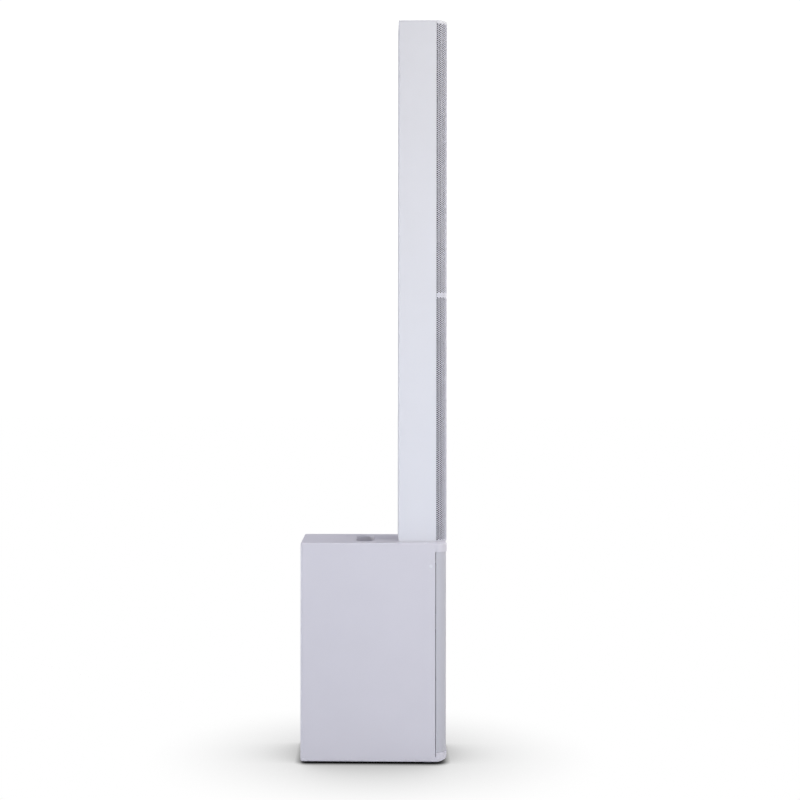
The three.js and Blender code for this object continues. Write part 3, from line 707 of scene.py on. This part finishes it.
def build_columns():
    build_column_shell("lower_housing_fine", "lower_column_housing",
                       LOWER_LO[2] - 0.22, LOWER_HI[2] + 0.13)
    build_column_shell("upper_housing_fine", "upper_column_housing",
                       UPPER_LO[2] - 0.13, UPPER_HI[2])
    shared = dict(mat="white_mesh", half=COL_HALF, front=COL_FRONT, radius=COL_FRONT_RADIUS,
                  solid=0.15, pitch=5.51, columns=39)
    drop = 0.35  # the lower grille reaches this far below its node
    perforated("lower_grille_fine", "lower_column_grille", rear=LOWER_MESH_HI[1],
               bottom=LOWER_MESH_LO[2] - drop, top=LOWER_MESH_HI[2],
               margins=(drop + 2.8, 4.9), across=3.86, **shared)
    perforated("upper_grille_fine", "upper_column_grille", rear=UPPER_MESH_HI[1],
               bottom=UPPER_MESH_LO[2], top=UPPER_MESH_HI[2],
               margins=(4.7, 0.5), across=3.78, **shared)


def build_top_cap():
    outline = plan(COL_HALF, COL_FRONT, COL_REAR, COL_FRONT_RADIUS, COL_REAR_RADIUS)
    cap = prism("top_cap_fine", outline, UPPER_MESH_HI[2] + 0.2, COL_TOP, "white_paint", "z",
                1.0, 5, start_edge=0)
    # rounds off the top front edge, as (y, z)
    radius = 7
    front_round = [(COL_FRONT - 3, COL_TOP - radius)]
    front_round += arc(COL_FRONT + radius, COL_TOP - radius, radius, 180, 90, 12)
    front_round += [(COL_FRONT + radius, COL_TOP + 4), (COL_FRONT - 3, COL_TOP + 4)]
    cut(cap, [
        box_tool(-100, 100, COL_SEAM - 0.4, 0, COL_TOP - 30, COL_TOP - 3),
        prism("tool", front_round, -100, 100, axis="x"),
    ])
    soften(cap, 0.3, 2, 40)
    stand_for(cap, "column_top_cap")


# ------------------------------------------------------------------ amplifier panel
def build_panel():
    width, height = PANEL_HI[0] - PANEL_LO[0], PANEL_HI[2] - PANEL_LO[2]
    plate = prism("panel_plate", rounded(0, PANEL_Z, width, height, 4), PANEL_LO[1], FACE,
                  "panel_metal", "y", 0.35, 2)
    near, far = 160, 190  # y span of the cutters
    # centres, hole radius, segments
    holes = [
        ([*INPUTS.values(), LINK], 12, 40),
        (KNOBS.values(), 4, 28),
        ([BUTTON], 4.4, 32),
        ([LENS], 2.8, 24),
        (SCREWS.values(), 2.3, 20),
    ]
    tools = [drill(c, radius, near, far, segs) for centres, radius, segs in holes for c in centres]
    tools.append(prism("tool", rounded(*INLET, 80.8, 28.8, 1.5, 4), near, far))
    cut(plate, tools)
    soften(plate, 0.2, 2, 50)
    stand_for(plate, "amp_panel")


INK = (FACE + 0.02, FACE + 0.12)  # y span of the printed marks


def dash(cx, cz, width, height, turn=0.0):
    c, s = math.cos(turn), math.sin(turn)
    x, z = width / 2, height / 2
    corners = [(c * px - s * pz, s * px + c * pz) for px, pz in ((-x, -z), (x, -z), (x, z), (-x, z))]
    return prism("mark", shifted(corners, (cx, cz)), *INK, "print_white")


def hoop(cx, cz, radius, width):
    return flat_ring("mark", (cx, cz), radius + width / 2, radius - width / 2, *INK, 48)


def build_panel_marks():
    """Thin raised ink, joined into one object."""
    marks = []
    # scale round each knob: longer ticks at both ends and the middle
    for x, z in KNOBS.values():
        for k in range(11):
            turn = math.radians(240 - 30 * k)
            radius, length, width = (11.6, 2.2, 0.45) if k in (0, 5, 10) else (11.2, 1.4, 0.35)
            marks.append(dash(x + radius * math.cos(turn), z + radius * math.sin(turn),
                              length, width, turn))
    # a line below each input and a bracket above it
    for x, _ in INPUTS.values():
        marks += [dash(x, 459.0, 0.45, 8.0), dash(x, 508.0, 26.0, 0.5),
                  dash(x - 13, 504.6, 0.5, 7.0), dash(x + 13, 504.6, 0.5, 7.0)]
    marks += [dash(0, z, 150, 0.4) for z in (415.5, 326.0, 232.0)]
    marks += [hoop(*BUTTON, 6.2, 0.4), hoop(*LENS, 5.6, 0.35)]
    # arrow beside the link output
    marks.append(dash(LINK[0] + 26, LINK[1], 12, 0.45))
    marks += [dash(LINK[0] + 31.2, LINK[1] + side * 1.1, 3.4, 0.45, -side * 0.7)
              for side in (-1, 1)]
    # ring and bar by the rocker
    marks += [hoop(INLET[0] - 20, 227.0, 1.6, 0.4), dash(INLET[0] - 12, 227.0, 0.45, 3.4)]

    verts, faces = [], []
    for mark in marks:
        offset = len(verts)
        verts += [tuple(c / MM for c in v.co) for v in mark.data.vertices]
        faces += [tuple(offset + i for i in p.vertices) for p in mark.data.polygons]
    for mark in marks:
        bpy.data.objects.remove(mark)
    ink = add_mesh("panel_marks", verts, faces, "print_white", outward=False)
    trim(ink, "amp_panel")


# connector shared by inputs and link output
JACK_SCREWS = ((-9.6, 12.2), (9.6, -12.2))  # x, z from the jack's centre
COLLAR = [(0, 158), (11.4, 158), (11.4, FACE + 3.9), (11.0, FACE + 4.3)]  # radius, y


def jack_flange(node, centre):
    return prism(node + "_body", rounded(*centre, 26, 31, 4), FACE + 0.1, FACE + 2.4,
                 "black_moulding", "y", 0.5, 3, start_edge=0)


def jack_collar(centre, inside):
    return lathe("tool", COLLAR + inside, centre, "black_moulding", segs=64)


def screw_seats(centre):
    profile = [(0, FACE + 1.0), (1.9, FACE + 1.0), (2.6, CLEAR), (0, CLEAR)]
    return [lathe("tool", profile, at, segs=24) for at in shifted(JACK_SCREWS, centre)]


def add_jack_screws(prefix, node, centre):
    profile = [(0, FACE + 1.05), (1.8, FACE + 1.05), (1.8, FACE + 1.7), (1.5, FACE + 2.1),
               (0.7, FACE + 2.1), (0.5, FACE + 1.5), (0, FACE + 1.5)]
    for i, at in enumerate(shifted(JACK_SCREWS, centre)):
        screw = lathe(f"{prefix}_fixing_{i}", profile, at, "screw_steel", segs=24)
        trim(screw, node)


def build_input(node, centre):
    """Flange and collar with a centre hole, three contact holes, a key-way and a tab."""
    x, z = centre
    body = jack_flange(node, centre)
    cut(body, [jack_collar(centre, [
        (10.2, FACE + 4.3), (9.8, FACE + 3.9), (9.8, FACE + 1.0), (9.4, FACE + 0.6),
        (0, FACE + 0.6)])], "UNION")
    hole = [(0, 160), (3.3, 160), (3.3, FACE + 0.1), (3.7, FACE + 0.7), (3.7, CLEAR), (0, CLEAR)]
    tools = [lathe("tool", hole, centre, segs=36)]
    tools += [drill(at, 1.4, 168, CLEAR, 20) for at in triad(centre, 6.6)]
    tools.append(prism("tool", rounded(x, z - 8.6, 3.0, 2.2, 0.6, 3), 172, CLEAR))
    cut(body, tools + screw_seats(centre))
    soften(body, 0.12, 1, 50)
    stand_for(body, node)
    tab = prism(node + "_release", rounded(x, z + 13.1, 6.5, 3.2, 1.0, 4),
                FACE + 2.3, FACE + 3.4, "pin_metal", "y", 0.35, 2)
    trim(tab, node)
    add_jack_screws(node, node, centre)


def build_link_output():
    """A deep cup with three pins."""
    x, z = LINK
    body = jack_flange("link_output", LINK)
    bore, floor_y = 9.6, 166
    cut(body, [drill(LINK, bore - 0.01, 150, 200, 64)])
    cut(body, [jack_collar(LINK, [
        (10.0, FACE + 4.3), (bore, FACE + 3.9), (bore, floor_y), (0, floor_y)])], "UNION")
    key_way = prism("tool", rounded(x, z - 10.0, 3.2, 2.4, 0.7, 3), 168, CLEAR)
    cut(body, screw_seats(LINK) + [key_way])
    soften(body, 0.12, 1, 50)
    stand_for(body, "link_output")
    profile = [(0, 165.5), (1.25, 165.5), (1.25, 176.4), (0.9, 177.6), (0.4, 178.1), (0, 178.2)]
    for i, at in enumerate(triad(LINK, 4), 1):
        trim(lathe(f"link_pin_{i}", profile, at, "pin_metal", segs=24), "link_output")
    add_jack_screws("link", "link_output", LINK)


def build_knob(node, centre):
    """A skirt, a fluted grip with a dished top, and an inlaid pointer."""
    lo, hi = box_of(node)
    back, tip = lo[1], hi[1]
    knob = lathe(node + "_skirt", [
        (0, back), (3.3, back), (3.4, back + 0.3), (3.4, tip - 12.5), (8.2, tip - 12.5),
        (8.35, tip - 12.2), (8.35, tip - 10.6), (8.1, tip - 10.2), (7.9, tip - 9.9),
        (0, tip - 9.9)], centre, "knob_soft", segs=72)
    grip = lathe("tool", [
        (0, tip - 10.4), (7.7, tip - 10.4), (7.55, tip - 4), (7.35, tip - 1.2),
        (7.0, tip - 0.45), (6.4, tip - 0.05), (5.9, tip), (5.2, tip - 0.25),
        (0, tip - 0.55)], centre, "knob_soft", segs=144, smooth=45, flutes=18, flute_depth=0.022)
    cut(knob, [grip], "UNION")
    bake(knob, 45)
    stand_for(knob, node)
    pointer = prism(node + "_pointer", rounded(centre[0], centre[1] + 4.9, 0.9, 5.2, 0.4, 4),
                    tip - 0.9, tip, "print_white", "y", 0.12, 1)
    trim(pointer, node)


def build_button():
    lo, hi = box_of("mode_button")
    back, tip = lo[1], hi[1]
    profile = [(0, back), (3.9, back), (3.9, tip - 0.9), (3.75, tip - 0.4), (3.35, tip - 0.08),
               (2.9, tip), (1.6, tip - 0.25), (0, tip - 0.35)]
    stand_for(lathe("mode_button_fine", profile, BUTTON, "knob_soft"), "mode_button")


def build_lens():
    back = box_of("status_lens")[0][1]
    profile = [(0, back), (2.5, back), (2.5, FACE + 0.15), (3.6, FACE + 0.15), (3.6, FACE + 0.8),
               (3.3, FACE + 1.2), (2.7, FACE + 1.7), (1.6, FACE + 2.2), (0, FACE + 2.4)]
    stand_for(lathe("status_lens_fine", profile, LENS, "status_green", segs=40), "status_lens")


def build_inlet():
    """One bezel with a three-blade socket and a rectangular opening for the rocker."""
    x, z = INLET
    lo, hi = box_of("mains_inlet")
    # x, z from the bezel's centre
    socket = [(4, -10.5), (34, -10.5), (34, 5.5), (29, 10.5), (9, 10.5), (4, 5.5)]
    island = [(8, -6.5), (30, -6.5), (30, 3.5), (27, 6.5), (11, 6.5), (8, 3.5)]
    blades = [(12.5, -1.5), (19, 2.5), (25.5, -1.5)]
    screws = [(-41.5, 0), (39.5, 0)]

    bezel = prism("inlet_bezel", rounded(x, z, 88, 34, 4), FACE + 0.1, hi[1],
                  "black_moulding", "y", 0.8, 4, start_edge=0)
    cut(bezel, [box_tool(x - 39.8, x + 39.8, lo[1], FACE + 1.0, z - 13.8, z + 13.8)], "UNION")
    cut(bezel, [prism("tool", shifted(socket, INLET), 158, CLEAR),
                prism("tool", rounded(x - 20, z, 24, 22, 0.8, 3), 162, CLEAR)])
    cut(bezel, [prism("tool", shifted(island, INLET), 157, 176, "black_moulding", "y",
                      0.4, 2, start_edge=0)], "UNION")
    soften(bezel, 0.15, 1, 50)
    stand_for(bezel, "mains_inlet")
    for i, at in enumerate(shifted(blades, INLET), 1):
        blade = prism(f"inlet_blade_{i}", rounded(*at, 1.9, 4.4, 0.4, 3), 174, 178.5,
                      "pin_metal", "y", 0.4, 2)
        trim(blade, "mains_inlet")
    y = hi[1]
    profile = [(0, y - 0.6), (1.7, y - 0.6), (1.7, y + 0.2), (1.3, y + 0.6), (0.6, y + 0.6),
               (0.45, y + 0.1), (0, y + 0.1)]
    for i, at in enumerate(shifted(screws, INLET)):
        screw = lathe(f"inlet_fixing_{i}", profile, at, "screw_steel", segs=24)
        trim(screw, "mains_inlet")


def build_rocker():
    """A dished rocker tilted about an axis along x, with a bar and a ring printed on it."""
    lo, hi = box_of("power_rocker")
    middle = (lo[0] + hi[0]) / 2
    pivot_y, pivot_z = 179.0, INLET[1]
    tilt = math.radians(7)
    half_dish, mark_offset = 9.2, 5.2

    def dish(fraction):
        return 3.15 + 1.05 * abs(fraction) ** 1.3

    def tilted(out, up):
        return (pivot_y + out * math.cos(tilt) + up * math.sin(tilt),
                pivot_z - out * math.sin(tilt) + up * math.cos(tilt))

    section = [(4.2, -9.4)] + [(dish(k / 8), half_dish * k / 8) for k in range(-7, 8)]
    section += [(4.2, 9.4)] + arc(0, 0, 10.35, 74, 286, 24)
    rocker = prism("rocker_fine", [tilted(*p) for p in section], lo[0], hi[0],
                   "knob_soft", "x", 0.5, 3)
    stand_for(rocker, "power_rocker")
    y, z = tilted(dish(mark_offset / half_dish), mark_offset)
    bar = prism("rocker_mark_bar", rounded(middle, z, 0.7, 4.0, 0.3, 3), y - 0.35, y + 0.2,
                "print_white", "y", 0.05, 1)
    trim(bar, "power_rocker")
    y, z = tilted(dish(mark_offset / half_dish), -mark_offset)
    ring = flat_ring("rocker_mark_ring", (middle, z), 2.0, 1.4, y - 0.4, y + 0.2, 28)
    trim(ring, "power_rocker")


def build_heat_sink():
    """A comb of rounded fins, drawn in plan and raised along z."""
    lo, hi = box_of("heat_sink")
    root, tip = lo[1], hi[1]
    fins, width = 15, 2.4
    pitch = (hi[0] - lo[0] - width) / (fins - 1)
    outline = [(lo[0], root), (hi[0], root)]
    for k in reversed(range(fins)):
        left = lo[0] + k * pitch
        right = left + width
        if k < fins - 1:
            outline += [(right + 0.8, root + 3.6), (right + 0.15, root + 4.4)]
        outline += [(right - 0.25, tip - 0.8), (right - 0.55, tip - 0.2), (right - 0.9, tip),
                    (left + 0.9, tip), (left + 0.55, tip - 0.2), (left + 0.25, tip - 0.8)]
        if k > 0:
            outline += [(left - 0.15, root + 4.4), (left - 0.8, root + 3.6)]
    sink = prism("heat_sink_fine", outline, lo[2], hi[2], "fin_metal", "z", 0.25, 1)
    stand_for(sink, "heat_sink")


def build_panel_screw(node, centre):
    """A pan head with a cross recess."""
    seat = FACE + 0.15
    screw = lathe(node + "_fine", [
        (0, 167), (1.6, 168), (2.0, 169.5), (2.0, seat), (4.2, seat), (4.2, seat + 0.7),
        (3.9, seat + 1.5), (3.2, seat + 2.2), (2.2, seat + 2.65), (0, seat + 2.8),
    ], centre, "screw_steel", segs=40)
    cut(screw, [prism("tool", rounded(*centre, *size, 0.2, 2), seat + 1.0, seat + 6)
                for size in ((0.95, 4.4), (4.4, 0.95))])
    bake(screw, 32)
    stand_for(screw, node)


def level_normals():
    """Lets the flat faces' area decide the normals at rounded edges; skips dense meshes."""
    for part in PARTS:
        if len(part.data.polygons) < 20000:
            level = part.modifiers.new("level", "WEIGHTED_NORMAL")
            level.keep_sharp = True
            level.weight = 80
            bake(part)


build_cabinet()
build_bass_grille()
build_grip_tub()
build_side_plugs()
build_feet()
build_columns()
build_top_cap()
build_panel()
build_panel_marks()
for node, centre in INPUTS.items():
    build_input(node, centre)
build_link_output()
for node, centre in KNOBS.items():
    build_knob(node, centre)
build_button()
build_lens()
build_inlet()
build_rocker()
build_heat_sink()
for node, centre in SCREWS.items():
    build_panel_screw(node, centre)
level_normals()


# ------------------------------------------------------------------ floor, light, camera (metres)
def build_floor():
    """The camera sees the floor glow white, darkened by a painted contact shadow taken from
    occlusion rather than from the lamps; other rays see a pale diffuse floor.
    """
    reach = 40
    mesh = bpy.data.meshes.new("floor")
    corners = [(-reach, -reach, 0), (reach, -reach, 0), (reach, reach, 0), (-reach, reach, 0)]
    mesh.from_pydata(corners, [], [(0, 1, 2, 3)])
    floor = bpy.data.objects.new("floor", mesh)
    scene.collection.objects.link(floor)

    pale = bpy.data.materials.new("floor_pale")
    tree = cleared_tree(pale)
    diffuse = add_node(tree, "BsdfDiffuse", {"Color": (0.74, 0.74, 0.75, 1)})
    painted_shades = []
    # painted shadow from occlusion, a broad and a close one: reach, power
    for distance, power in ((0.42, 0.92), (0.020, 1.4)):
        occlusion = add_node(tree, "AmbientOcclusion", {"Distance": distance}, samples=24)
        painted_shades.append(add_node(tree, "Math", {0: occlusion.outputs["AO"], 1: power},
                                operation="POWER").outputs[0])
    painted_shadow = add_node(tree, "Math", {0: painted_shades[0], 1: painted_shades[1]}, operation="MULTIPLY")
    # the glow carries the painted shadow: white in the open, darker near and under the object
    glow = add_node(tree, "Emission", {"Strength": painted_shadow.outputs[0]})
    mix_for_camera(tree, diffuse, glow, "OutputMaterial")
    mesh.materials.append(pale)


def mix_for_camera(tree, other, seen, output):
    """Shows one shader to the camera and another to all other rays."""
    rays = add_node(tree, "LightPath").outputs["Is Camera Ray"]
    mix = add_node(tree, "MixShader", {0: rays, 1: other.outputs[0], 2: seen.outputs[0]})
    add_node(tree, output, {0: mix.outputs[0]})


def build_world():
    world = bpy.data.worlds.new("studio")
    scene.world = world
    tree = cleared_tree(world)
    seen = add_node(tree, "Background", {"Color": (1, 1, 1, 1), "Strength": 1.05})
    lit = add_node(tree, "Background", {"Color": (0.985, 0.99, 1.0, 1), "Strength": 0.09})
    mix_for_camera(tree, lit, seen, "OutputWorld")


def aim(direction):
    return Vector(direction).to_track_quat("-Z", "Y").to_euler()


def area_light(name, location, target_z, size, power, colour):
    """A rectangular light aimed at a height on the z axis."""
    data = bpy.data.lights.new(name, "AREA")
    data.shape = "RECTANGLE"
    data.size, data.size_y = size
    data.energy = power
    data.color = colour
    light = bpy.data.objects.new(name, data)
    scene.collection.objects.link(light)
    light.location = location
    light.visible_camera = False
    light.rotation_euler = aim(Vector((0, 0, target_z)) - Vector(location))


def sun_light(name, direction, power, spread, colour):
    data = bpy.data.lights.new(name, "SUN")
    data.energy = power
    data.angle = math.radians(spread)
    data.color = colour
    light = bpy.data.objects.new(name, data)
    scene.collection.objects.link(light)
    light.rotation_euler = aim(direction)


def build_lights():
    area_light("front_high", location=(-1.9, -2.0, 2.25), target_z=1.8, size=(0.9, 1.2),
               power=33.2, colour=(1.000, 0.985, 0.885))
    area_light("side_high", location=(-2.6, 0.0, 1.9), target_z=1.6, size=(1.4, 1.4),
               power=8.4, colour=(1.000, 0.900, 0.800))
    area_light("side_low", location=(-2.6, 0.0, 0.72), target_z=0.82, size=(1.4, 1.0),
               power=18.9, colour=(0.775, 0.865, 1.000))
    area_light("far_side", location=(2.0, -2.0, 1.3), target_z=1.1, size=(1.4, 1.8),
               power=27.0, colour=(0.985, 0.990, 1.000))
    sun_light("overhead", direction=(-0.04, 0.13, -1.0), power=1.36, spread=40,
              colour=(0.795, 0.820, 1.000))
    area_light("front", location=(0.2, -2.7, 2.1), target_z=1.75, size=(1.2, 1.6),
               power=5.2, colour=(1.000, 0.930, 0.750))
    area_light("rear", location=(0.3, 3.0, 1.5), target_z=1.3, size=(1.4, 2.0),
               power=49.0, colour=(0.970, 0.990, 1.000))


def build_camera():
    """Looks along +X at the left side."""
    roll, yaw = -0.0010, 0.01776  # small turns off the square view, in radians
    data = bpy.data.cameras.new("camera")
    camera = bpy.data.objects.new("camera", data)
    scene.collection.objects.link(camera)
    camera.location = (-3.9, -0.00927, 1.0210)
    camera.rotation_euler = (math.radians(90), roll, math.radians(-90) + yaw)
    data.sensor_width = 36
    data.lens = 63.71055
    data.shift_x = 0.059375
    data.shift_y = -0.0220625
    data.clip_end = 200
    scene.camera = camera


build_floor()
build_world()
build_lights()
build_camera()
scene.view_settings.view_transform = "Standard"
scene.view_settings.look = "None"
scene.view_settings.exposure = 0.0
scene.view_settings.gamma = 1.0
scene.cycles.denoising_prefilter = "NONE"  # keeps the fine holes of the grilles
